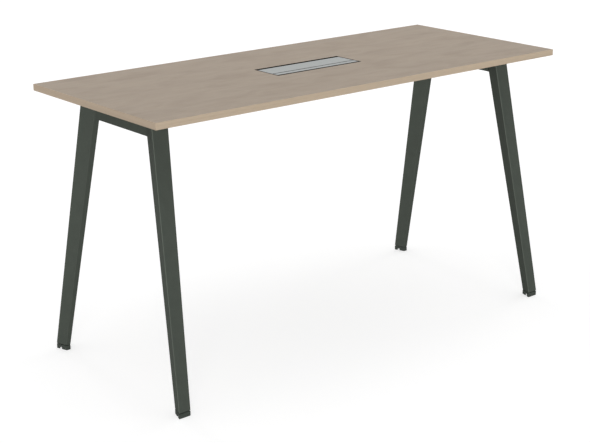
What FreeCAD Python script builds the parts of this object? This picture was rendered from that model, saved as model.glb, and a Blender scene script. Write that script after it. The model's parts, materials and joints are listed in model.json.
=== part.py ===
import FreeCAD, Part
import math
import os

# Standing meeting table. Lengths are in millimetres.
# X runs along the table, Y across it and Z up. The origin is on the floor, under the middle of the top.
# The hinge of the cable flap is on the front side, which faces -Y.

Vector = FreeCAD.Vector

# Table top
top_length = 2000.0
top_width = 800.0
top_thickness = 25.0
top_height = 1078.0
band_thickness = 2.0
band_radius = 1.0

# Leg: a tapered, folded tube. Its wide face looks outwards and its narrow nose looks inwards.
head_face_width = 72.0
head_depth = 69.5
head_nose_width = 25.5
head_corner_radius = 3.0
foot_face_width = 51.0
leg_wall = 2.0
leg_head_end_inset = 132.0
leg_beam_plate_gap = 23.25
leg_foot_end_inset = 70.0
leg_foot_side_inset = 4.5
leg_end_height = 22.0

# Head plate between a leg and the top
head_plate_thickness = 5.0
head_plate_outer_inset = 4.0
head_plate_end_reach = 30.0
head_plate_middle_reach = 60.0
head_plate_beam_gap = 9.5
head_screw_edge = 15.0
head_screw_end_offset = 22.0

# End rail: a flat tube between the noses of two legs
rail_width = 25.0
rail_height = 80.0
rail_wall = 2.0

# Long beams under the top, between the end rails
beam_width = 25.0
beam_height = 50.0
beam_wall = 2.0
beam_flap_gap = 4.5
beam_plate_thickness = 4.0
beam_plate_width = 60.0
beam_bolt_spread = 42.0
beam_bolt_drop = 23.0
beam_screw_places = [250.0, 700.0]
beam_access_radius = 7.0

# Fasteners
top_screw_radius = 3.0
top_screw_length = 21.0
top_screw_head_radius = 5.25
top_screw_head_height = 3.3
top_screw_key = 4.0
insert_radius = 4.5
insert_length = 13.0
insert_hole_depth = 18.0
wood_screw_radius = 2.5
wood_screw_depth = 16.0
wood_screw_head_radius = 4.8
wood_screw_head_height = 3.0
wood_screw_key = 3.0
beam_bolt_radius = 4.0
beam_bolt_length = 20.0
beam_bolt_head_radius = 6.5
beam_bolt_head_height = 5.0
beam_bolt_key = 5.0
nut_across_flats = 13.0
nut_height = 6.5
hole_clearance = 0.3
thread_clearance = 0.05

# Foot: a hollow cap that a captive levelling screw lowers out of the leg
cap_height = 18.5
cap_wall = 3.5
cap_hollow_height = 13.0
cap_foot_chamfer = 0.8
cap_neck_inset = 5.0
cap_neck_top = 27.5
cap_arch_width = 12.0
cap_arch_height = 11.0
cap_arch_share = 0.6
end_plate_thickness = 5.0
end_plate_clearance = 0.1
level_screw_radius = 4.0
level_screw_top = 53.5
level_screw_foot = 9.5
level_flange_radius = 8.0
level_flange_height = 3.0
level_flange_clearance = 0.4
level_groove_depth = 0.6
level_key = 4.0
level_key_depth = 4.0
clip_radius = 6.5
clip_thickness = 1.2
clip_gap = 0.2
running_clearance = 0.05

# Cable flap in the middle of the top
cutout_length = 430.0
cutout_width = 150.0
cutout_radius = 3.0
frame_clearance = 0.3
frame_wall = 2.5
frame_front_rim = 12.5
frame_ledge_thickness = 3.0
frame_flange_reach = 11.0
frame_flange_thickness = 3.0
frame_screw_places = [140.0, 0.0]
strip_width = 25.5
strip_thickness = 6.0
strip_clearance = 0.3
strip_screw_places = [-150.0, 0.0, 150.0]
strip_screw_radius = 2.0
strip_screw_length = 6.5
strip_screw_head_radius = 3.5
strip_screw_head_height = 2.2
strip_screw_key = 2.5
seam_gap = 7.0
lid_width = 86.5
lid_thickness = 3.5
lid_end_gap = 3.6
lid_knuckle_radius = 3.5
lid_lip_depth = 8.0
lid_lip_thickness = 3.5
hinge_pin_radius = 1.5
hinge_pin_reach = 20.0
buffer_radius = 4.0
buffer_height = 8.0
buffer_gap = 0.3
buffer_tab_length = 18.0
buffer_tab_width = 14.0
buffer_inset = 8.0
buffer_from_lid_edge = 14.0
brush_holder_width = 4.0
brush_holder_height = 8.0
brush_holder_drop = 3.0
brush_thickness = 2.0
brush_lid_gap = 1.5
brush_grip = 2.0

# Places and levels worked out from the sizes above
beam_y = cutout_width / 2 + frame_flange_reach + beam_flap_gap + beam_width / 2
leg_head_x = top_length / 2 - leg_head_end_inset
leg_head_y = beam_y + beam_plate_width / 2 + leg_beam_plate_gap + head_depth / 2
leg_foot_x = top_length / 2 - leg_foot_end_inset
leg_foot_y = top_width / 2 - leg_foot_side_inset
top_underside = top_height - top_thickness
leg_top_height = top_underside - head_plate_thickness
head_plate_inner_y = beam_y + beam_width / 2 + head_plate_beam_gap
leg_taper = foot_face_width / head_face_width
rail_bottom = leg_top_height - rail_height
beam_end_x = leg_head_x - rail_width / 2 - beam_plate_thickness

QUADRANTS = [
    ("front_left", -1, -1),
    ("front_right", 1, -1),
    ("rear_left", -1, 1),
    ("rear_right", 1, 1),
]


def block(x0, x1, y0, y1, z0, z1):
    """A box between the given limits."""
    return Part.makeBox(x1 - x0, y1 - y0, z1 - z0, Vector(x0, y0, z0))


def upright(radius, x, y, z0, z1):
    """A vertical cylinder between two heights."""
    return Part.makeCylinder(radius, z1 - z0, Vector(x, y, z0))


def along_x(radius, x0, x1, y, z):
    """A cylinder that runs along X between two places."""
    return Part.makeCylinder(radius, x1 - x0, Vector(x0, y, z), Vector(1, 0, 0))


def hexagon(across_flats, base, axis, length):
    """A hexagonal prism that starts at base and runs along axis."""
    corner_radius = across_flats / math.sqrt(3)
    corners = []
    for step in range(7):
        turn = math.radians(60 * step)
        corners.append(Vector(corner_radius * math.cos(turn), corner_radius * math.sin(turn), 0))
    prism = Part.Face(Part.makePolygon(corners)).extrude(Vector(0, 0, length))
    prism.Placement = FreeCAD.Placement(base, FreeCAD.Rotation(Vector(0, 0, 1), axis))
    return prism


def fused(shapes):
    """One solid from shapes that touch or overlap."""
    return shapes[0].multiFuse(shapes[1:]).removeSplitter()


def placed(shape, side_x, side_y):
    """A copy of a shape from the rear right quarter, mirrored into the quarter that the signs give."""
    copy = shape.copy()
    if side_x < 0:
        copy = copy.mirror(Vector(0, 0, 0), Vector(1, 0, 0))
    if side_y < 0:
        copy = copy.mirror(Vector(0, 0, 0), Vector(0, 1, 0))
    return copy


def in_all_quarters(shapes):
    """A group of separate solids: each shape in all four quarters of the table."""
    copies = []
    for _, side_x, side_y in QUADRANTS:
        for shape in shapes:
            copies.append(placed(shape, side_x, side_y))
    return Part.makeCompound(copies)


def rounded_outline(corners, radius):
    """A closed wire through the corners of a convex polygon, with each corner rounded."""
    count = len(corners)
    starts = []
    ends = []
    middles = []
    for index, corner in enumerate(corners):
        back = (corners[index - 1] - corner).normalize()
        ahead = (corners[(index + 1) % count] - corner).normalize()
        half_angle = back.getAngle(ahead) / 2
        reach = radius / math.tan(half_angle)
        inward = (back + ahead).normalize()
        starts.append(corner + back * reach)
        ends.append(corner + ahead * reach)
        middles.append(corner + inward * (radius / math.sin(half_angle) - radius))
    edges = []
    for index in range(count):
        edges.append(Part.Arc(starts[index], middles[index], ends[index]).toShape())
        edges.append(Part.LineSegment(ends[index], starts[(index + 1) % count]).toShape())
    return Part.Wire(edges)


def leg_section(height, inset, level=None):
    """The leg's outline at a height, inset by a wall, drawn at that height or at another level."""
    share = (leg_top_height - height) / (leg_top_height - leg_end_height)
    scale = 1 + (leg_taper - 1) * share
    middle_x = leg_head_x + (leg_foot_x - leg_head_x) * share
    middle_y = leg_head_y + (leg_foot_y - leg_head_y) * share
    depth = head_depth * scale
    nose = head_nose_width * scale
    slope = (head_face_width - head_nose_width) / (2 * head_depth)
    side_inset = inset * math.sqrt(1 + slope**2)
    face_half = nose / 2 + slope * (depth - inset) - side_inset
    nose_half = nose / 2 + slope * inset - side_inset
    reach = depth / 2 - inset
    z = height if level is None else level
    corners = [
        Vector(middle_x - face_half, middle_y + reach, z),
        Vector(middle_x - nose_half, middle_y - reach, z),
        Vector(middle_x + nose_half, middle_y - reach, z),
        Vector(middle_x + face_half, middle_y + reach, z),
    ]
    radius = max(head_corner_radius * scale - inset, leg_wall / 2)
    return rounded_outline(corners, radius)


def leg_volume(low, high, inset):
    """The leaning, tapering space inside the leg's outline between two heights."""
    return Part.makeLoft([leg_section(low, inset), leg_section(high, inset)], True, True)


def nose_y(height):
    """How far the leg's nose is from the table's middle plane at a height."""
    share = (leg_top_height - height) / (leg_top_height - leg_end_height)
    scale = 1 + (leg_taper - 1) * share
    return leg_head_y + (leg_foot_y - leg_head_y) * share - head_depth * scale / 2


def head_screw_spots():
    """Where screws hold a head plate to the top, in the rear right quarter."""
    middle_x = leg_head_x - head_plate_middle_reach + head_screw_edge
    near_y = head_plate_inner_y + head_screw_edge
    far_y = leg_head_y + head_depth / 2 - head_plate_outer_inset - head_screw_edge
    return [(middle_x, near_y), (middle_x, far_y), (leg_head_x + head_screw_end_offset, near_y)]


def flap_screw_spots():
    """Where screws hold the flap's frame to the underside of the top."""
    side_y = (cutout_width + frame_flange_reach) / 2
    end_x = (cutout_length + frame_flange_reach) / 2
    along, middle = frame_screw_places
    return [
        (-along, -side_y),
        (along, -side_y),
        (-along, side_y),
        (along, side_y),
        (-end_x, middle),
        (end_x, middle),
    ]


def beam_screw_spots():
    """Where screws hold the top down on a beam, in the rear right quarter."""
    return [(x, beam_y) for x in beam_screw_places]


def wood_screw(x, y, seat):
    """A screw with its head below seat and its point up in the board."""
    head = upright(wood_screw_head_radius, x, y, seat - wood_screw_head_height, seat)
    shank = upright(wood_screw_radius, x, y, seat, top_underside + wood_screw_depth)
    key_base = Vector(x, y, seat - wood_screw_head_height)
    key = hexagon(wood_screw_key, key_base, Vector(0, 0, 1), wood_screw_head_height / 2)
    return fused([head, shank]).cut(key)


# Table top


def make_tabletop_board():
    half_x = top_length / 2 - band_thickness
    half_y = top_width / 2 - band_thickness
    board = block(-half_x, half_x, -half_y, half_y, top_underside, top_height)
    cut_x = cutout_length / 2
    cut_y = cutout_width / 2
    corners = [
        Vector(-cut_x, -cut_y, top_underside),
        Vector(cut_x, -cut_y, top_underside),
        Vector(cut_x, cut_y, top_underside),
        Vector(-cut_x, cut_y, top_underside),
    ]
    cutout = Part.Face(rounded_outline(corners, cutout_radius)).extrude(Vector(0, 0, top_thickness))
    holes = [cutout]
    for _, side_x, side_y in QUADRANTS:
        for x, y in head_screw_spots():
            hole_top = top_underside + insert_hole_depth
            holes.append(upright(insert_radius, side_x * x, side_y * y, top_underside, hole_top))
        for x, y in beam_screw_spots():
            radius = wood_screw_radius + thread_clearance
            hole_top = top_underside + wood_screw_depth
            holes.append(upright(radius, side_x * x, side_y * y, top_underside, hole_top))
    for x, y in flap_screw_spots():
        radius = wood_screw_radius + thread_clearance
        holes.append(upright(radius, x, y, top_underside, top_underside + wood_screw_depth))
    return board.cut(holes)


def rounded_band(band, outward):
    """A band with the edges of its outer face rounded."""
    edges = []
    for face in band.Faces:
        if face.normalAt(0, 0).getAngle(outward) < 0.01:
            edges = [edge for edge in face.Edges if abs(edge.tangentAt(edge.FirstParameter).z) < 0.5]
    return band.makeFillet(band_radius, edges)


def make_long_band(side):
    outer = top_width / 2
    inner = outer - band_thickness
    y0, y1 = sorted([side * inner, side * outer])
    band = block(-top_length / 2, top_length / 2, y0, y1, top_underside, top_height)
    return rounded_band(band, Vector(0, side, 0))


def make_end_band(side):
    outer = top_length / 2
    inner = outer - band_thickness
    half_y = top_width / 2 - band_thickness
    x0, x1 = sorted([side * inner, side * outer])
    band = block(x0, x1, -half_y, half_y, top_underside, top_height)
    return rounded_band(band, Vector(side, 0, 0))


# Legs and what carries the top


def make_leg():
    outer = leg_volume(leg_end_height, leg_top_height, 0.0)
    inner = leg_volume(leg_end_height, leg_top_height, leg_wall)
    return outer.cut(inner)


def make_head_plate():
    x0 = leg_head_x - head_plate_middle_reach
    x1 = leg_head_x + head_plate_end_reach
    y1 = leg_head_y + head_depth / 2 - head_plate_outer_inset
    plate = block(x0, x1, head_plate_inner_y, y1, leg_top_height, top_underside)
    radius = top_screw_radius + hole_clearance
    holes = [upright(radius, x, y, leg_top_height, top_underside) for x, y in head_screw_spots()]
    return plate.cut(holes)


def make_end_rail(side):
    def bar(half_width, low, high):
        start = side * leg_head_x - half_width
        corners = [
            Vector(start, -nose_y(low), low),
            Vector(start, nose_y(low), low),
            Vector(start, nose_y(high), high),
            Vector(start, -nose_y(high), high),
            Vector(start, -nose_y(low), low),
        ]
        return Part.Face(Part.makePolygon(corners)).extrude(Vector(2 * half_width, 0, 0))

    outer = bar(rail_width / 2, rail_bottom, leg_top_height)
    inner = bar(rail_width / 2 - rail_wall, rail_bottom + rail_wall, leg_top_height - rail_wall)
    cuts = [inner]
    for _, side_x, side_y in QUADRANTS:
        if side_x == side:
            for y in beam_bolt_ys():
                x0, x1 = sorted([side * (leg_head_x - rail_width / 2), side * leg_head_x])
                radius = beam_bolt_radius + hole_clearance
                cuts.append(along_x(radius, x0, x1, side_y * y, beam_bolt_z()))
    return outer.cut(cuts)


def beam_bolt_ys():
    """How far the bolts of a beam's end plate are from the table's middle plane."""
    return [beam_y - beam_bolt_spread / 2, beam_y + beam_bolt_spread / 2]


def beam_bolt_z():
    return leg_top_height - beam_bolt_drop


def make_beam(side):
    y = side * beam_y
    half = beam_width / 2
    low = top_underside - beam_height
    outer = block(-beam_end_x, beam_end_x, y - half, y + half, low, top_underside)
    inner_half = half - beam_wall
    inner = block(
        -beam_end_x, beam_end_x, y - inner_half, y + inner_half, low + beam_wall, top_underside - beam_wall
    )
    cuts = [inner]
    for x, _ in beam_screw_spots():
        for place in (-x, x):
            cuts.append(upright(beam_access_radius, place, y, low, low + beam_wall))
            radius = wood_screw_radius + hole_clearance
            cuts.append(upright(radius, place, y, top_underside - beam_wall, top_underside))
    return outer.cut(cuts)


def make_beam_plate():
    x0 = beam_end_x
    x1 = beam_end_x + beam_plate_thickness
    y0 = beam_y - beam_plate_width / 2
    y1 = beam_y + beam_plate_width / 2
    plate = block(x0, x1, y0, y1, top_underside - beam_height, leg_top_height)
    radius = beam_bolt_radius + hole_clearance
    return plate.cut([along_x(radius, x0, x1, y, beam_bolt_z()) for y in beam_bolt_ys()])


# Fasteners of the frame


def make_top_screw(x, y):
    seat = leg_top_height
    head = upright(top_screw_head_radius, x, y, seat - top_screw_head_height, seat)
    shank = upright(top_screw_radius, x, y, seat, seat + top_screw_length)
    key_base = Vector(x, y, seat - top_screw_head_height)
    key = hexagon(top_screw_key, key_base, Vector(0, 0, 1), top_screw_head_height / 2)
    return fused([head, shank]).cut(key)


def make_insert(x, y):
    high = top_underside + insert_length
    sleeve = upright(insert_radius, x, y, top_underside, high)
    return sleeve.cut(upright(top_screw_radius + thread_clearance, x, y, top_underside, high))


def make_beam_bolt(y):
    seat = beam_end_x
    z = beam_bolt_z()
    head = along_x(beam_bolt_head_radius, seat - beam_bolt_head_height, seat, y, z)
    shank = along_x(beam_bolt_radius, seat, seat + beam_bolt_length, y, z)
    key_base = Vector(seat - beam_bolt_head_height, y, z)
    key = hexagon(beam_bolt_key, key_base, Vector(1, 0, 0), beam_bolt_head_height / 2)
    return fused([head, shank]).cut(key)


def make_rail_nut(y):
    start = leg_head_x - rail_width / 2 + rail_wall
    z = beam_bolt_z()
    nut = hexagon(nut_across_flats, Vector(start, y, z), Vector(1, 0, 0), nut_height)
    return nut.cut(along_x(beam_bolt_radius + thread_clearance, start, start + nut_height, y, z))


# Feet


def make_foot_cap():
    outline = leg_section(leg_end_height, 0.0, 0.0)
    body = Part.Face(outline).extrude(Vector(0, 0, cap_height))
    base_edges = [edge for edge in body.Edges if edge.BoundBox.ZMax < 0.001]
    body = body.makeChamfer(cap_foot_chamfer, base_edges)
    neck_outline = leg_section(leg_end_height, cap_neck_inset, cap_height)
    neck = Part.Face(neck_outline).extrude(Vector(0, 0, cap_neck_top - cap_height))
    hollow_outline = leg_section(leg_end_height, cap_wall, 0.0)
    hollow = Part.Face(hollow_outline).extrude(Vector(0, 0, cap_hollow_height))
    pocket_radius = level_flange_radius + level_flange_clearance
    pocket = upright(pocket_radius, leg_foot_x, leg_foot_y, cap_height, cap_neck_top)
    bore_radius = level_screw_radius + running_clearance
    bore = upright(bore_radius, leg_foot_x, leg_foot_y, cap_hollow_height, cap_height)
    return fused([body, neck]).cut([hollow, pocket, bore, cap_arch()])


def cap_arch():
    """The cutter of the arch in the foot of both slanted walls."""
    depth = head_depth * leg_taper
    y = leg_foot_y + (cap_arch_share - 0.5) * depth
    x0 = leg_foot_x - foot_face_width / 2
    x1 = leg_foot_x + foot_face_width / 2
    radius = cap_arch_width / 2
    spring = cap_arch_height - radius
    crown = along_x(radius, x0, x1, y, spring)
    return fused([crown, block(x0, x1, y - radius, y + radius, -radius, spring)])


def make_end_plate():
    low = cap_neck_top
    plate = leg_volume(low, low + end_plate_thickness, leg_wall + end_plate_clearance)
    radius = level_screw_radius + running_clearance
    return plate.cut(upright(radius, leg_foot_x, leg_foot_y, low, low + end_plate_thickness))


def make_foot_nut():
    low = cap_neck_top + end_plate_thickness
    nut = hexagon(nut_across_flats, Vector(leg_foot_x, leg_foot_y, low), Vector(0, 0, 1), nut_height)
    radius = level_screw_radius + running_clearance
    return nut.cut(upright(radius, leg_foot_x, leg_foot_y, low, low + nut_height))


def clip_heights():
    """The lower and upper height of the groove for the clip, just under the cap's web."""
    high = cap_hollow_height - clip_gap
    return high - clip_thickness, high


def make_level_screw():
    x, y = leg_foot_x, leg_foot_y
    stem = upright(level_screw_radius, x, y, level_screw_foot, level_screw_top)
    flange = upright(level_flange_radius, x, y, cap_height, cap_height + level_flange_height)
    low, high = clip_heights()
    core_radius = level_screw_radius - level_groove_depth
    groove = upright(level_screw_radius + 1, x, y, low, high).cut(upright(core_radius, x, y, low, high))
    key = hexagon(level_key, Vector(x, y, level_screw_foot), Vector(0, 0, 1), level_key_depth)
    return fused([stem, flange]).cut([groove, key])


def make_foot_clip():
    low, high = clip_heights()
    ring = upright(clip_radius, leg_foot_x, leg_foot_y, low, high)
    core_radius = level_screw_radius - level_groove_depth
    core = upright(core_radius, leg_foot_x, leg_foot_y, low, high)
    mouth = block(
        leg_foot_x - core_radius, leg_foot_x + core_radius, leg_foot_y, leg_foot_y + clip_radius, low, high
    )
    return ring.cut([core, mouth])


# Cable flap


def frame_outer():
    """Half the outer length and half the outer width of the flap's frame."""
    return cutout_length / 2 - frame_clearance, cutout_width / 2 - frame_clearance


def strip_ys():
    """The front and back edge of the fixed hinge strip."""
    front = -frame_outer()[1] + frame_front_rim + strip_clearance
    return front, front + strip_width


def lid_ys():
    """The front and back edge of the lid."""
    front = strip_ys()[1] + seam_gap
    return front, front + lid_width


def lid_half_length():
    return frame_outer()[0] - frame_wall - lid_end_gap


def hinge_axis():
    """Where the lid's hinge axis is, across the table and in height."""
    return lid_ys()[0] + lid_knuckle_radius, top_height - lid_knuckle_radius


def buffer_spot():
    """Where the rear right buffer stands."""
    return lid_half_length() - buffer_inset, lid_ys()[1] - buffer_from_lid_edge


def buffer_seat():
    return top_height - lid_thickness - buffer_gap - buffer_height


def make_flap_frame():
    half_x, half_y = frame_outer()
    inner_x = half_x - frame_wall
    inner_y = half_y - frame_wall
    low = top_underside - frame_flange_thickness
    flange_x = cutout_length / 2 + frame_flange_reach
    flange_y = cutout_width / 2 + frame_flange_reach
    tube = block(-half_x, half_x, -half_y, half_y, low, top_height)
    tube_edges = [edge for edge in tube.Edges if abs(edge.tangentAt(edge.FirstParameter).z) > 0.5]
    tube = tube.makeFillet(cutout_radius, tube_edges)
    flange = block(-flange_x, flange_x, -flange_y, flange_y, low, top_underside)
    shell = fused([tube, flange]).cut(block(-inner_x, inner_x, -inner_y, inner_y, low, top_height))
    strip_front, strip_back = strip_ys()
    ledge_top = top_height - strip_thickness
    ledge_low = ledge_top - frame_ledge_thickness
    rim_back = strip_front - strip_clearance
    rim = block(-inner_x, inner_x, -inner_y, rim_back, ledge_low, top_height)
    ledge = block(-inner_x, inner_x, rim_back, strip_back, ledge_low, ledge_top)
    pieces = [shell, rim, ledge]
    strip_end = lid_half_length() + strip_clearance
    buffer_x, buffer_y = buffer_spot()
    seat = buffer_seat()
    for side in (-1, 1):
        x0, x1 = sorted([side * inner_x, side * strip_end])
        pieces.append(block(x0, x1, rim_back, strip_back, ledge_low, top_height))
        x0, x1 = sorted([side * inner_x, side * (inner_x - buffer_tab_length)])
        half_tab = buffer_tab_width / 2
        tab_low = seat - frame_ledge_thickness
        pieces.append(block(x0, x1, buffer_y - half_tab, buffer_y + half_tab, tab_low, seat))
    radius = wood_screw_radius + hole_clearance
    holes = [upright(radius, x, y, low, top_underside) for x, y in flap_screw_spots()]
    strip_y = (strip_front + strip_back) / 2
    for x in strip_screw_places:
        holes.append(upright(strip_screw_radius + hole_clearance, x, strip_y, ledge_low, ledge_top))
    axis_y, axis_z = hinge_axis()
    holes.append(along_x(hinge_pin_radius, -half_x, half_x, axis_y, axis_z))
    return fused(pieces).cut(holes)


def make_hinge_strip():
    front, back = strip_ys()
    half_x = lid_half_length()
    low = top_height - strip_thickness
    strip = block(-half_x, half_x, front, back, low, top_height)
    radius = strip_screw_radius + thread_clearance
    depth = strip_screw_length - frame_ledge_thickness
    middle = (front + back) / 2
    return strip.cut([upright(radius, x, middle, low, low + depth) for x in strip_screw_places])


def make_strip_screws():
    front, back = strip_ys()
    middle = (front + back) / 2
    seat = top_height - strip_thickness - frame_ledge_thickness
    screws = []
    for x in strip_screw_places:
        head = upright(strip_screw_head_radius, x, middle, seat - strip_screw_head_height, seat)
        shank = upright(strip_screw_radius, x, middle, seat, seat + strip_screw_length)
        key_base = Vector(x, middle, seat - strip_screw_head_height)
        key = hexagon(strip_screw_key, key_base, Vector(0, 0, 1), strip_screw_head_height / 2)
        screws.append(fused([head, shank]).cut(key))
    return Part.makeCompound(screws)


def make_flap_lid():
    front, back = lid_ys()
    half_x = lid_half_length()
    axis_y, axis_z = hinge_axis()
    knuckle = along_x(lid_knuckle_radius, -half_x, half_x, axis_y, axis_z)
    plate = block(-half_x, half_x, front, back, top_height - lid_thickness, top_height)
    lip = block(-half_x, half_x, back - lid_lip_thickness, back, top_height - lid_lip_depth, top_height)
    radius = hinge_pin_radius + running_clearance
    reach = hinge_pin_reach - lid_end_gap
    bores = [
        along_x(radius, -half_x, reach - half_x, axis_y, axis_z),
        along_x(radius, half_x - reach, half_x, axis_y, axis_z),
    ]
    return fused([knuckle, plate, lip]).cut(bores)


def make_hinge_pins():
    axis_y, axis_z = hinge_axis()
    outer = frame_outer()[0]
    inner = outer - frame_wall - hinge_pin_reach + running_clearance
    pins = [
        along_x(hinge_pin_radius, -outer, -inner, axis_y, axis_z),
        along_x(hinge_pin_radius, inner, outer, axis_y, axis_z),
    ]
    return Part.makeCompound(pins)


def make_lid_buffers():
    x, y = buffer_spot()
    seat = buffer_seat()
    buffers = []
    for side in (-1, 1):
        buffer = upright(buffer_radius, side * x, y, seat, seat + buffer_height)
        crown = [edge for edge in buffer.Edges if edge.BoundBox.ZMin > seat + buffer_height - 0.001]
        buffers.append(buffer.makeFillet(buffer_radius / 4, crown))
    return Part.makeCompound(buffers)


def brush_levels():
    """The lower and upper height of the brush's holder."""
    high = top_height - brush_holder_drop
    return high - brush_holder_height, high


def make_brush_holder():
    wall_y = frame_outer()[1] - frame_wall
    half_x = lid_half_length()
    low, high = brush_levels()
    holder = block(-half_x, half_x, wall_y - brush_holder_width, wall_y, low, high)
    front = wall_y - brush_holder_width
    middle = (low + high) / 2
    half = brush_thickness / 2
    groove = block(-half_x, half_x, front, front + brush_grip, middle - half, middle + half)
    return holder.cut(groove)


def make_brush_bristles():
    grip = frame_outer()[1] - frame_wall - brush_holder_width + brush_grip
    half_x = lid_half_length()
    low, high = brush_levels()
    middle = (low + high) / 2
    half = brush_thickness / 2
    return block(-half_x, half_x, lid_ys()[1] + brush_lid_gap, grip, middle - half, middle + half)


def build_nodes():
    """Every sub-part by its node's name."""
    nodes = {
        "tabletop_board": make_tabletop_board(),
        "edge_band_front": make_long_band(-1),
        "edge_band_rear": make_long_band(1),
        "edge_band_left": make_end_band(-1),
        "edge_band_right": make_end_band(1),
        "end_rail_left": make_end_rail(-1),
        "end_rail_right": make_end_rail(1),
        "beam_front": make_beam(-1),
        "beam_rear": make_beam(1),
        "top_screws": in_all_quarters([make_top_screw(x, y) for x, y in head_screw_spots()]),
        "top_inserts": in_all_quarters([make_insert(x, y) for x, y in head_screw_spots()]),
        "beam_bolts": in_all_quarters([make_beam_bolt(y) for y in beam_bolt_ys()]),
        "rail_nuts": in_all_quarters([make_rail_nut(y) for y in beam_bolt_ys()]),
        "foot_nuts": in_all_quarters([make_foot_nut()]),
        "flap_frame": make_flap_frame(),
        "flap_hinge_strip": make_hinge_strip(),
        "flap_strip_screws": make_strip_screws(),
        "flap_lid": make_flap_lid(),
        "flap_hinge_pins": make_hinge_pins(),
        "flap_lid_buffers": make_lid_buffers(),
        "flap_brush_holder": make_brush_holder(),
        "flap_brush_bristles": make_brush_bristles(),
    }
    seat = top_underside - beam_wall
    nodes["beam_screws"] = in_all_quarters([wood_screw(x, y, seat) for x, y in beam_screw_spots()])
    seat = top_underside - frame_flange_thickness
    nodes["flap_frame_screws"] = Part.makeCompound([wood_screw(x, y, seat) for x, y in flap_screw_spots()])
    quarter_parts = {
        "leg": make_leg(),
        "head_plate": make_head_plate(),
        "beam_end_plate": make_beam_plate(),
        "leg_end_plate": make_end_plate(),
        "foot_cap": make_foot_cap(),
        "level_screw": make_level_screw(),
        "foot_clip": make_foot_clip(),
    }
    for part_name, shape in quarter_parts.items():
        for place, side_x, side_y in QUADRANTS:
            nodes[f"{part_name}_{place}"] = placed(shape, side_x, side_y)
    return nodes


os.makedirs("parts", exist_ok=True)
for node_name, node_shape in build_nodes().items():
    node_shape.exportStep(f"parts/{node_name}.step")
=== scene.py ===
import json
import math
import random

import bmesh
import bpy
from mathutils import Matrix, Vector


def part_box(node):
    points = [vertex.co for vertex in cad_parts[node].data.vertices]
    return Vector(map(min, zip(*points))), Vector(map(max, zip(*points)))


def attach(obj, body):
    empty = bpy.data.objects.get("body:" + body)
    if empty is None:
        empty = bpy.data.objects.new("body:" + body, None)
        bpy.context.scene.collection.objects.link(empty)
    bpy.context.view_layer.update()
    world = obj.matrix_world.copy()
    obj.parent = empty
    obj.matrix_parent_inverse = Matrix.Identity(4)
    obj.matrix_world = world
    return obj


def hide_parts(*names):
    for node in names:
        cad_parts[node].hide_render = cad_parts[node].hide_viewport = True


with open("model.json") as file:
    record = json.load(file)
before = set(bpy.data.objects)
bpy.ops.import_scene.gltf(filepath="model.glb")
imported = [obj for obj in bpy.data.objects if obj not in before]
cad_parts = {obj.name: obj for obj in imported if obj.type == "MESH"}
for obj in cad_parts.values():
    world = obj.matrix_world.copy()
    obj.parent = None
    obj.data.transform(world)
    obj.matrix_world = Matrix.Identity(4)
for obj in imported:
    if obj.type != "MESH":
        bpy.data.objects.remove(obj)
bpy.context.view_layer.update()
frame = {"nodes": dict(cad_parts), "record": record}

# Camera, fitted to the top's corners and the legs' edges in a picture 590 pixels wide: the sensor
# in millimetres, the place in metres, and the angles in radians, the yaw from +Y towards +X and
# the pitch downwards
IMAGE_WIDTH = 590
SENSOR_WIDTH = 36.0
FOCAL_PIXELS = 1368.1
CAMERA_PLACE = (-3.4531, -4.0442, 2.1477)
CAMERA_YAW = 0.69657
CAMERA_PITCH = 0.31201
CAMERA_ROLL = -0.00141
CAMERA_REACH = 100.0

# Light: the share that the sky adds to a surface that faces it
SKY_LIGHT = 0.30
# Distant lights: name, bearing and height in degrees, share, and spread in degrees
SUNS = (
    ("front_light", 230.0, 5.0, 0.90, 22.0),
    ("back_light", 85.0, 4.0, 0.50, 15.0),
    ("end_light", 5.0, 5.0, 0.45, 30.0),
    ("top_light", 0.0, 90.0, 0.415, 80.0),
)

# Floor: its grey, its own glow, and in metres half its width and how far it lies below the feet
FLOOR_SHADE = 0.45
FLOOR_GLOW = 0.65
FLOOR_HALF = 30.0
FLOOR_DROP = 0.0005

# Fine detail that the solids leave out. Sizes are in metres.
# Bristles: the play is a share of the step, and the last four are the most that chance adds
BRISTLE_SEED = 4
BRISTLE_RADIUS = 0.00016
BRISTLE_STEP = 0.0008
BRISTLE_ROWS = 4
BRISTLE_SIDES = 3
BRISTLE_PLAY = 0.25
BRISTLE_LEAN = 0.0006
BRISTLE_DROOP = 0.0003
BRISTLE_SHORTFALL = 0.0008
# Weld beads: the dip is a share of the radius, and the crease is an angle in degrees
BEAD_RADIUS = 0.0014
BEAD_RIPPLE = 0.0022
BEAD_DIP = 0.1
BEAD_SIDES = 8
BEAD_STEP = 0.0004
BEAD_CREASE = 80.0
# Levelling screws: a vertex at more than the rim's share of the flange's radius is on the flange
THREAD_PITCH = 0.00125
THREAD_DEPTH = 0.00068
KEY_WIDTH = 0.004
KEY_DEPTH = 0.004
SCREW_SIDES = 36
RINGS_PER_TURN = 6
FLANGE_RIM = 0.9
# How near to a level a vertex has to be to lie on it
ON_LEVEL = 0.0001

# Mending and bevelling of the CAD nodes' meshes, in metres and degrees
WELD_REACH = 0.000002
FLAT_ANGLE = 0.3
SHARP_ANGLE = 35.0
BEVEL_SEGMENTS = 2

# Where a leg's rounded outer corner starts and is whole, as the product of its normal's parts, for
# the painted highlight on the corners
CORNER_START = 0.30
CORNER_WHOLE = 0.46
# How far a normal has to point along an axis for its face to look that way, as for the aluminium's
# painted shade
FACING = 0.7

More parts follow.
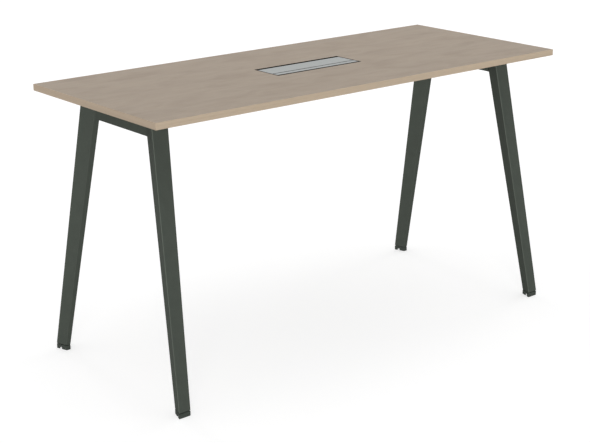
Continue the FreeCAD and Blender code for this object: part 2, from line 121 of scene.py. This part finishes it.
# How far each kind of CAD node's sharp edges are rounded, in metres, by the start of its name
EDGE_WIDTHS = {
    "end_rail": 0.0014,
    "beam_front": 0.0014,
    "beam_rear": 0.0014,
    "beam_end_plate": 0.0005,
    "head_plate": 0.0005,
    "leg_end_plate": 0.0004,
    "foot_cap": 0.0005,
    "flap_lid": 0.0005,
    "flap_hinge_strip": 0.0004,
    "flap_frame": 0.0003,
    "flap_brush_holder": 0.0003,
    "beam_bolts": 0.0002,
    "top_screws": 0.0002,
    "foot_clip": 0.0001,
}


# Node graphs


class Graph:
    """A short way to build a node graph."""

    def __init__(self, tree):
        self.tree = tree

    def add(self, kind, **settings):
        node = self.tree.nodes.new(kind)
        for key, value in settings.items():
            setattr(node, key, value)
        return node

    def put(self, socket, value):
        """Links a socket to value if that is a socket too, or else sets it."""
        if isinstance(value, bpy.types.NodeSocket):
            self.tree.links.new(value, socket)
        else:
            socket.default_value = value

    def math(self, operation, first, second=0.0, third=0.0):
        node = self.add("ShaderNodeMath", operation=operation)
        self.put(node.inputs[0], first)
        self.put(node.inputs[1], second)
        self.put(node.inputs[2], third)
        return node.outputs[0]

    def span(self, factor, low, high):
        """factor, from 0 to 1, spread between low and high."""
        return self.math("MULTIPLY_ADD", factor, high - low, low)

    def parts(self, vector):
        """A vector's X, Y and Z."""
        node = self.add("ShaderNodeSeparateXYZ")
        self.put(node.inputs[0], vector)
        return node.outputs


class MaterialGraph(Graph):
    """A material's node graph, around its own shader."""

    def __init__(self, name):
        self.material = bpy.data.materials.new(name)
        self.material.use_nodes = True
        super().__init__(self.material.node_tree)
        self.shader = self.tree.nodes["Principled BSDF"]
        coordinates = self.add("ShaderNodeTexCoord")
        self.place = coordinates.outputs["Object"]
        self.normal = coordinates.outputs["Normal"]

    def stretched(self, scale, offset=(0.0, 0.0, 0.0)):
        """The object's coordinates, in metres, scaled along each axis."""
        node = self.add("ShaderNodeMapping")
        self.put(node.inputs["Vector"], self.place)
        node.inputs["Scale"].default_value = scale
        node.inputs["Location"].default_value = offset
        return node.outputs["Vector"]

    def noise(self, vector, scale, detail, roughness, distortion=0.0):
        node = self.add("ShaderNodeTexNoise")
        self.put(node.inputs["Vector"], vector)
        node.inputs["Scale"].default_value = scale
        node.inputs["Detail"].default_value = detail
        node.inputs["Roughness"].default_value = roughness
        node.inputs["Distortion"].default_value = distortion
        return node.outputs["Fac"]

    def ramp(self, factor, stops):
        """A colour ramp. Each stop is (place, colour), the colour as red, green and blue."""
        node = self.add("ShaderNodeValToRGB")
        self.put(node.inputs["Fac"], factor)
        elements = node.color_ramp.elements
        while len(elements) < len(stops):
            elements.new(0.5)
        for element, (place, colour) in zip(elements, stops):
            element.position = place
            element.color = (*colour, 1.0)
        return node.outputs["Color"]

    def mix(self, factor, first, second, blend="MIX"):
        node = self.add("ShaderNodeMix", data_type="RGBA", blend_type=blend)
        self.put(node.inputs["Factor"], factor)
        for name, value in (("A", first), ("B", second)):
            socket = [s for s in node.inputs if s.name == name and s.type == "RGBA"][0]
            self.put(socket, value if isinstance(value, bpy.types.NodeSocket) else (*value, 1.0))
        return [s for s in node.outputs if s.type == "RGBA"][0]

    def bump(self, height, distance, strength):
        node = self.add("ShaderNodeBump")
        self.put(node.inputs["Height"], height)
        node.inputs["Distance"].default_value = distance
        node.inputs["Strength"].default_value = strength
        self.put(self.shader.inputs["Normal"], node.outputs["Normal"])

    def finish(self, colour, roughness, metallic=0.0):
        self.put(self.shader.inputs["Base Color"], colour)
        self.put(self.shader.inputs["Roughness"], roughness)
        self.shader.inputs["Metallic"].default_value = metallic
        return self.material


def linear(red, green, blue):
    """A display colour from 0 to 255 as the linear colour that a shader takes."""
    made = []
    for value in (red, green, blue):
        share = value / 255
        made.append(share / 12.92 if share <= 0.04045 else ((share + 0.055) / 1.055) ** 2.4)
    return tuple(made)


# Materials


def make_laminate():
    """Grey-brown oak print: long soft figure and fine pores along X."""
    g = MaterialGraph("laminate")
    figure = g.noise(
        g.stretched((3.4, 8.0, 8.0)), scale=1.6, detail=4.0, roughness=0.5, distortion=0.4
    )
    streaks = g.noise(
        g.stretched((4.0, 60.0, 60.0), (3.1, 0.7, 0.0)),
        scale=1.0,
        detail=4.0,
        roughness=0.6,
        distortion=0.15,
    )
    pores = g.noise(
        g.stretched((14.0, 420.0, 420.0), (0.3, 5.2, 0.0)), scale=1.0, detail=3.0, roughness=0.6
    )
    tone = g.ramp(
        figure,
        [
            (0.30, linear(157, 144, 130)),
            (0.48, linear(163, 150, 136)),
            (0.60, linear(166, 153, 139)),
            (0.74, linear(161, 148, 134)),
        ],
    )
    light = g.ramp(streaks, [(0.35, (0.965, 0.965, 0.965)), (0.65, (1.03, 1.025, 1.02))])
    tone = g.mix(1.0, tone, light, "MULTIPLY")
    dark = g.ramp(pores, [(0.30, (0.90, 0.89, 0.88)), (0.42, (1.0, 1.0, 1.0))])
    tone = g.mix(0.7, tone, dark, "MULTIPLY")
    g.bump(pores, distance=0.00006, strength=0.5)
    g.shader.inputs["Specular IOR Level"].default_value = 0.15
    return g.finish(tone, g.span(streaks, 0.62, 0.72))


def make_edge_band(name, colour, along_x):
    """The band's warmer print, with its grain along the band."""
    g = MaterialGraph(name)

    def stretch(along, across, up):
        return (along, across, up) if along_x else (across, along, up)

    streaks = g.noise(
        g.stretched(stretch(1.5, 40.0, 160.0)), scale=1.0, detail=4.0, roughness=0.6, distortion=0.2
    )
    pores = g.noise(
        g.stretched(stretch(12.0, 300.0, 900.0), (0.4, 1.3, 0.2)),
        scale=1.0,
        detail=3.0,
        roughness=0.6,
    )
    tone = g.ramp(
        streaks,
        [
            (0.30, tuple(0.92 * c for c in colour)),
            (0.50, colour),
            (0.70, tuple(1.06 * c for c in colour)),
        ],
    )
    dark = g.ramp(pores, [(0.28, (0.90, 0.88, 0.86)), (0.42, (1.0, 1.0, 1.0))])
    tone = g.mix(0.6, tone, dark, "MULTIPLY")
    g.bump(pores, distance=0.00005, strength=0.4)
    g.shader.inputs["Specular IOR Level"].default_value = 0.1
    return g.finish(tone, g.span(streaks, 0.50, 0.60))


def highlighted_corners(g):
    """Painted highlight's mask: 1 on a leg's rounded outer corners, whose normals point out and
    sideways, else 0.
    """
    normal = g.parts(g.normal)
    outer_side = g.math("SIGN", g.parts(g.place)["Y"])
    sideways = g.math("ABSOLUTE", normal["X"])
    outwards = g.math("MULTIPLY", normal["Y"], outer_side)
    both = g.math("MULTIPLY", sideways, outwards)
    step = g.add("ShaderNodeMapRange", interpolation_type="SMOOTHSTEP")
    g.put(step.inputs["Value"], both)
    step.inputs["From Min"].default_value = CORNER_START
    step.inputs["From Max"].default_value = CORNER_WHOLE
    return step.outputs["Result"]


def make_powder_coat(name, colour, grain, roughness, gloss, highlight_gain=1.0):
    """Powder coat or moulded plastic: a slight mottle, a speckle and a fine bump.

    The last argument is how much lighter the legs' outer corners are painted: a painted highlight
    on their ridges.
    """
    g = MaterialGraph(name)
    mottle = g.noise(g.place, scale=26.0, detail=3.0, roughness=0.5)
    texture = g.noise(g.place, scale=grain, detail=2.0, roughness=0.5)
    tone = g.ramp(
        mottle,
        [
            (0.35, tuple(0.97 * c for c in colour)),
            (0.65, tuple(1.03 * c for c in colour)),
        ],
    )
    speckle = g.ramp(texture, [(0.35, (0.90, 0.90, 0.90)), (0.65, (1.10, 1.10, 1.10))])
    tone = g.mix(1.0, tone, speckle, "MULTIPLY")
    # Painted highlight: the legs' rounded outer corners lighter, as where the light catches the
    # ridges
    if highlight_gain > 1.0:
        tone = g.mix(highlighted_corners(g), tone, tuple(highlight_gain * c for c in colour))
    g.bump(texture, distance=0.00015, strength=0.5)
    g.shader.inputs["Specular IOR Level"].default_value = gloss
    return g.finish(tone, g.span(mottle, roughness - 0.04, roughness + 0.04))


def make_aluminium():
    """Satin anodised aluminium, brushed along X, with painted shade on its front and end faces."""
    g = MaterialGraph("anodised_aluminium")
    brush = g.noise(g.stretched((9.0, 1400.0, 1400.0)), scale=1.0, detail=4.0, roughness=0.7)
    cloud = g.noise(g.stretched((3.0, 9.0, 9.0)), scale=1.0, detail=2.0, roughness=0.5)
    tone = g.ramp(brush, [(0.25, linear(146, 149, 148)), (0.75, linear(160, 163, 162))])
    normal = g.parts(g.normal)
    # Painted shade: front and end faces darkened, as the gaps round the lid would shade them
    shaded_front = g.math("LESS_THAN", normal["Y"], -FACING)
    shaded_end = g.math("GREATER_THAN", g.math("ABSOLUTE", normal["X"]), FACING)
    tone = g.mix(g.math("MAXIMUM", shaded_front, shaded_end), tone, linear(74, 74, 72))
    g.bump(brush, distance=0.00003, strength=0.5)
    return g.finish(tone, g.span(cloud, 0.56, 0.64), 0.4)


def make_zinc():
    """Bright zinc plate with a faint clouding."""
    g = MaterialGraph("zinc_steel")
    cloud = g.noise(g.place, scale=160.0, detail=4.0, roughness=0.6)
    tone = g.ramp(cloud, [(0.3, linear(178, 182, 186)), (0.7, linear(206, 206, 202))])
    g.bump(cloud, distance=0.00002, strength=0.4)
    return g.finish(tone, g.span(cloud, 0.28, 0.40), 1.0)


def make_rubber():
    """Black rubber, a little dusty."""
    g = MaterialGraph("rubber")
    dust = g.noise(g.place, scale=900.0, detail=3.0, roughness=0.6)
    tone = g.ramp(dust, [(0.3, linear(22, 22, 22)), (0.7, linear(34, 34, 33))])
    g.bump(dust, distance=0.00004, strength=0.4)
    return g.finish(tone, g.span(dust, 0.75, 0.88))


def make_bristle():
    """Dark bristles, uneven along their row."""
    g = MaterialGraph("bristle")
    hairs = g.noise(g.stretched((2600.0, 40.0, 40.0)), scale=1.0, detail=2.0, roughness=0.5)
    tone = g.ramp(hairs, [(0.3, linear(20, 19, 18)), (0.7, linear(44, 41, 38))])
    g.shader.inputs["Specular IOR Level"].default_value = 0.1
    return g.finish(tone, g.span(hairs, 0.45, 0.60))


MATERIALS = {
    "laminate": make_laminate(),
    "edge_band": make_edge_band("edge_band_along_x", linear(181, 164, 143), along_x=True),
    # The powder coat gets a painted highlight on the legs' outer corners, 1.75 times as light
    "powder_coat": make_powder_coat(
        "powder_coat", linear(72, 77, 71), grain=1500.0, roughness=0.75, gloss=0.04, highlight_gain=1.75
    ),
    "foot_plastic": make_powder_coat(
        "foot_plastic", linear(66, 71, 66), grain=2400.0, roughness=0.70, gloss=0.05
    ),
    "zinc_steel": make_zinc(),
    "anodised_aluminium": make_aluminium(),
    "black_plastic": make_powder_coat(
        "black_plastic", linear(36, 34, 31), grain=2400.0, roughness=0.80, gloss=0.04
    ),
    "rubber": make_rubber(),
    "bristle": make_bristle(),
}
# The end bands' copy: grain along Y, and painted darker as painted shade for the ends' weaker light
SHADED_END_BAND = make_edge_band("edge_band_shaded_along_y", linear(174, 157, 138), along_x=False)


def dress_cad_nodes():
    """Every carried-over CAD node takes the material of its slot in the record, the end bands a
    darker copy with painted shade.
    """
    for part in frame["record"]["subparts"]:
        node = frame["nodes"][part["node"]]
        material = MATERIALS[part["material_slot"]]
        # The end bands take the darker copy, its darkness painted shade
        if part["node"] in ("edge_band_left", "edge_band_right"):
            material = SHADED_END_BAND
        node.data.materials.clear()
        node.data.materials.append(material)


def soften_edges(node, width):
    """Rounds a CAD node's sharp edges a little, as tools and moulds leave them."""
    weld = node.modifiers.new("joined", "WELD")
    weld.merge_threshold = WELD_REACH
    flat = node.modifiers.new("whole_faces", "DECIMATE")
    flat.decimate_type = "DISSOLVE"
    flat.angle_limit = math.radians(FLAT_ANGLE)
    bevel = node.modifiers.new("soft_edges", "BEVEL")
    bevel.width = width
    bevel.segments = BEVEL_SEGMENTS
    bevel.limit_method = "ANGLE"
    bevel.angle_limit = math.radians(SHARP_ANGLE)
    shading = node.modifiers.new("flat_shading", "WEIGHTED_NORMAL")
    shading.keep_sharp = True


def soften_cad_nodes():
    for name, node in frame["nodes"].items():
        for start, width in EDGE_WIDTHS.items():
            if name.startswith(start):
                soften_edges(node, width)


# Pieces that only the scene has


def add_piece(name, vertices, faces, slot_name, body):
    """A mesh with its slot's material that rides on a CAD body."""
    mesh = bpy.data.meshes.new(name)
    mesh.from_pydata(vertices, [], faces)
    mesh.update()
    mesh.materials.append(MATERIALS[slot_name])
    piece = bpy.data.objects.new(name, mesh)
    bpy.context.scene.collection.objects.link(piece)
    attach(piece, body)
    return piece


def skin(rings, closed=False):
    """Vertices and faces of a tube over rings of equally many points, capped unless closed."""
    count = len(rings[0])
    vertices = [point for ring in rings for point in ring]
    faces = []
    last = len(rings) if closed else len(rings) - 1
    for i in range(last):
        here, there = i * count, (i + 1) % len(rings) * count
        for k in range(count):
            following = (k + 1) % count
            faces.append((here + k, here + following, there + following, there + k))
    if not closed:
        faces.append(tuple(reversed(range(count))))
        faces.append(tuple(range((len(rings) - 1) * count, len(rings) * count)))
    return vertices, faces


def shade_smooth(piece, angle):
    """Smooth shading, with creases where faces meet at more than the angle."""
    piece.data.shade_smooth()
    sharp = math.radians(angle)
    shape = bmesh.new()
    shape.from_mesh(piece.data)
    for edge in shape.edges:
        edge.smooth = len(edge.link_faces) == 2 and edge.calc_face_angle(0.0) < sharp
    shape.to_mesh(piece.data)
    shape.free()


def add_bristles():
    """Rows of single bristles, slightly uneven, in place of the solid that stands for them."""
    low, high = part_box("flap_brush_bristles")
    chance = random.Random(BRISTLE_SEED)
    vertices, faces = [], []
    columns = int((high[0] - low[0]) / BRISTLE_STEP)
    for row in range(BRISTLE_ROWS):
        height = low[2] + (high[2] - low[2]) * (row + 0.5) / BRISTLE_ROWS
        for column in range(columns):
            play = chance.uniform(-BRISTLE_PLAY, BRISTLE_PLAY)
            x = low[0] + BRISTLE_STEP * (column + 0.5 + play)
            lean = chance.uniform(-BRISTLE_LEAN, BRISTLE_LEAN)
            droop = chance.uniform(-BRISTLE_DROOP, BRISTLE_DROOP)
            shortfall = chance.uniform(0.0, BRISTLE_SHORTFALL)
            start = len(vertices)
            tip = start + BRISTLE_SIDES
            for y, dx, dz in ((high[1], 0.0, 0.0), (low[1] + shortfall, lean, droop)):
                for k in range(BRISTLE_SIDES):
                    turn = 2 * math.pi * k / BRISTLE_SIDES
                    across = BRISTLE_RADIUS * math.cos(turn)
                    up = BRISTLE_RADIUS * math.sin(turn)
                    vertices.append((x + dx + across, y, height + dz + up))
            for k in range(BRISTLE_SIDES):
                following = (k + 1) % BRISTLE_SIDES
                faces.append((start + k, start + following, tip + following, tip + k))
            faces.append(tuple(reversed(range(tip, tip + BRISTLE_SIDES))))
    piece = add_piece("brush_bristles", vertices, faces, "bristle", "table")
    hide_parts("flap_brush_bristles")


def level_screw_rings(middle, levels, clip_levels, flange_levels, flange_radius, radius):
    """Rings of a threaded stem with a flange and a neck for the clip, from its lower end up."""
    low, high = levels
    step = THREAD_PITCH / RINGS_PER_TURN

    def ring(z, reach_at):
        """Points round the middle, each as far out as reach_at says for its turn and height."""
        made = []
        for k in range(SCREW_SIDES):
            turn = 2 * math.pi * k / SCREW_SIDES
            reach = reach_at(turn, z)
            made.append((middle[0] + reach * math.cos(turn), middle[1] + reach * math.sin(turn), z))
        return made

    def key(turn, z):
        return KEY_WIDTH / 2 / math.cos((turn + math.pi / 6) % (math.pi / 3) - math.pi / 6)

    def thread(turn, z):
        phase = (z / THREAD_PITCH - turn / (2 * math.pi)) % 1.0
        end = min(1.0, (z - low) / THREAD_PITCH, (high - z) / THREAD_PITCH)
        return radius - THREAD_DEPTH * (1 - end * (1 - abs(2 * phase - 1)))

    def neck(turn, z):
        return radius - THREAD_DEPTH

    def flange(turn, z):
        return flange_radius

    rings = [ring(low + KEY_DEPTH, key), ring(low, key)]
    for i in range(int((high - low) / step) + 1):
        z = low + i * step
        if clip_levels[0] - step < z < clip_levels[1] + step:
            rings.append(ring(z, neck))
        elif flange_levels[0] <= z <= flange_levels[1]:
            rings.append(ring(z, flange))
        else:
            rings.append(ring(z, thread))
    return rings


def add_level_screws():
    """Threaded levelling screws in place of the plain ones."""
    for name, node in frame["nodes"].items():
        if not name.startswith("level_screw_"):
            continue
        corner = name.removeprefix("level_screw_")
        low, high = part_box(name)
        middle = ((low[0] + high[0]) / 2, (low[1] + high[1]) / 2)
        flange_radius = (high[0] - low[0]) / 2
        clip_low, clip_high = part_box("foot_clip_" + corner)
        points = [node.matrix_world @ v.co for v in node.data.vertices]
        reaches = [(math.hypot(p.x - middle[0], p.y - middle[1]), p.z) for p in points]
        flange_levels = [z for reach, z in reaches if reach > FLANGE_RIM * flange_radius]
        radius = max(reach for reach, z in reaches if z > high[2] - ON_LEVEL)
        rings = level_screw_rings(
            middle,
            (low[2], high[2]),
            (clip_low[2], clip_high[2]),
            (min(flange_levels), max(flange_levels)),
            flange_radius,
            radius,
        )
        piece = add_piece("threaded_screw_" + corner, *skin(rings), "zinc_steel", "screw_" + corner)
        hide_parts(name)


def bead_rings(route, across, closed=False):
    """Rings of a weld bead along a route of close points. across leads out of the route's plane."""
    across = Vector(across).normalized()
    rings = []
    run = 0.0
    count = len(route)
    for i, point in enumerate(route):
        before = route[(i - 1) % count] if closed else route[max(i - 1, 0)]
        after = route[(i + 1) % count] if closed else route[min(i + 1, count - 1)]
        along = (after - before).normalized()
        side = along.cross(across)
        run += (point - route[i - 1]).length if i else 0.0
        swell = abs(math.sin(math.pi * run / BEAD_RIPPLE))
        reach = BEAD_RADIUS * (1 - BEAD_DIP + BEAD_DIP * swell)
        rings.append(
            [
                point + reach * (math.cos(turn) * side + math.sin(turn) * across)
                for turn in (2 * math.pi * k / BEAD_SIDES for k in range(BEAD_SIDES))
            ]
        )
    return rings


def close_points(corners, closed=False):
    """Points at even steps along straight runs between corners."""
    route = []
    ends = corners[1:] + corners[:1] if closed else corners[1:]
    for start, end in zip(corners, ends):
        parts = max(1, int((end - start).length / BEAD_STEP))
        route.extend(start.lerp(end, i / parts) for i in range(parts))
    if not closed:
        route.append(corners[-1])
    return route


def add_rail_welds():
    """A bead round each end of the end rails, where they meet the legs."""
    for side in ("left", "right"):
        rail = frame["nodes"]["end_rail_" + side]
        points = [rail.matrix_world @ v.co for v in rail.data.vertices]
        low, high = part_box("end_rail_" + side)
        for name, sign in (("front", -1), ("rear", 1)):
            lower = max(sign * p.y for p in points if p.z < low[2] + ON_LEVEL)
            upper = max(sign * p.y for p in points if p.z > high[2] - ON_LEVEL)
            corners = [
                Vector((low[0], sign * upper, high[2])),
                Vector((low[0], sign * lower, low[2])),
                Vector((high[0], sign * lower, low[2])),
                Vector((high[0], sign * upper, high[2])),
            ]
            rings = bead_rings(close_points(corners), (0.0, sign, 0.0))
            weld = add_piece(f"weld_rail_{side}_{name}", *skin(rings), "powder_coat", "table")
            shade_smooth(weld, BEAD_CREASE)


def turned(a, b, c):
    """More than 0 where the way from a over b to c turns left."""
    return (b[0] - a[0]) * (c[1] - a[1]) - (b[1] - a[1]) * (c[0] - a[0])


def outline_at_top(name):
    """The outer outline of a CAD node's upper end, as points in turn."""
    node = frame["nodes"][name]
    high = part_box(name)[1][2]
    points = {
        (round(p.x, 6), round(p.y, 6))
        for p in (node.matrix_world @ v.co for v in node.data.vertices)
        if p.z > high - ON_LEVEL
    }
    points = sorted(points)

    def half(way):
        chain = []
        for point in way:
            while len(chain) > 1 and turned(chain[-2], chain[-1], point) <= 0:
                chain.pop()
            chain.append(point)
        return chain[:-1]

    return [Vector((x, y, high)) for x, y in half(points) + half(points[::-1])]


def add_leg_welds():
    """A bead round the top of each leg, under its head plate."""
    for name in frame["nodes"]:
        if name.startswith("leg_") and not name.startswith("leg_end"):
            route = close_points(outline_at_top(name), closed=True)
            rings = bead_rings(route, (0.0, 0.0, 1.0), closed=True)
            weld = add_piece("weld_" + name, *skin(rings, closed=True), "powder_coat", "table")
            shade_smooth(weld, BEAD_CREASE)


# Stage, light and camera


def add_soft_sun(name, bearing, height, share, spread):
    """A distant soft light. bearing, from +X to +Y, and height say where it stands."""
    level = math.cos(math.radians(height))
    across = (math.cos(math.radians(bearing)), math.sin(math.radians(bearing)))
    towards = (level * across[0], level * across[1], math.sin(math.radians(height)))
    light = bpy.data.lights.new(name, "SUN")
    light.energy = share * math.pi
    light.angle = math.radians(spread)
    lamp = bpy.data.objects.new(name, light)
    bpy.context.scene.collection.objects.link(lamp)
    lamp.rotation_mode = "QUATERNION"
    lamp.rotation_quaternion = Vector(towards).to_track_quat("Z", "Y")


def seen_directly(g):
    """1 for camera, glossy and transmission rays, and 0 for all others."""
    path = g.add("ShaderNodeLightPath")
    seen = g.math("MAXIMUM", path.outputs["Is Camera Ray"], path.outputs["Is Glossy Ray"])
    return g.math("MAXIMUM", seen, path.outputs["Is Transmission Ray"])


def make_floor_material():
    """White where the floor is lit, and grey only in the object's shadow."""
    g = MaterialGraph("floor")
    g.shader.inputs["Base Color"].default_value = (FLOOR_SHADE, FLOOR_SHADE, FLOOR_SHADE, 1.0)
    g.shader.inputs["Roughness"].default_value = 0.9
    g.shader.inputs["Specular IOR Level"].default_value = 0.1
    g.shader.inputs["Emission Color"].default_value = (1.0, 1.0, 1.0, 1.0)
    g.put(g.shader.inputs["Emission Strength"], g.math("MULTIPLY", seen_directly(g), FLOOR_GLOW))
    return g.material


def add_floor():
    mesh = bpy.data.meshes.new("floor")
    signs = ((-1, -1), (1, -1), (1, 1), (-1, 1))
    corners = [(x * FLOOR_HALF, y * FLOOR_HALF, 0) for x, y in signs]
    mesh.from_pydata(corners, [], [(0, 1, 2, 3)])
    mesh.materials.append(make_floor_material())
    floor = bpy.data.objects.new("floor", mesh)
    bpy.context.scene.collection.objects.link(floor)
    floor.location.z = -FLOOR_DROP


def set_world():
    """White where it is seen, and a weak even light on everything."""
    world = bpy.data.worlds.new("studio")
    bpy.context.scene.world = world
    world.use_nodes = True
    g = Graph(world.node_tree)
    background = g.tree.nodes["Background"]
    background.inputs["Color"].default_value = (1.0, 1.0, 1.0, 1.0)
    g.put(background.inputs["Strength"], g.span(seen_directly(g), SKY_LIGHT, 1.0))


def set_camera():
    camera = bpy.data.cameras.new("camera")
    camera.sensor_width = SENSOR_WIDTH
    camera.lens = FOCAL_PIXELS * SENSOR_WIDTH / IMAGE_WIDTH
    camera.clip_end = CAMERA_REACH
    holder = bpy.data.objects.new("camera", camera)
    bpy.context.scene.collection.objects.link(holder)
    level = math.cos(CAMERA_PITCH)
    forward = Vector(
        (math.sin(CAMERA_YAW) * level, math.cos(CAMERA_YAW) * level, -math.sin(CAMERA_PITCH))
    )
    flat_right = Vector((math.cos(CAMERA_YAW), -math.sin(CAMERA_YAW), 0.0))
    flat_up = flat_right.cross(forward)
    right = math.cos(CAMERA_ROLL) * flat_right + math.sin(CAMERA_ROLL) * flat_up
    up = math.cos(CAMERA_ROLL) * flat_up - math.sin(CAMERA_ROLL) * flat_right
    turn = Matrix((right, up, -forward)).transposed().to_4x4()
    holder.matrix_world = Matrix.Translation(CAMERA_PLACE) @ turn
    bpy.context.scene.camera = holder


dress_cad_nodes()
soften_cad_nodes()
add_bristles()
add_level_screws()
add_rail_welds()
add_leg_welds()
add_floor()
set_world()
for sun in SUNS:
    add_soft_sun(*sun)
set_camera()
bpy.context.scene.view_settings.view_transform = "Standard"
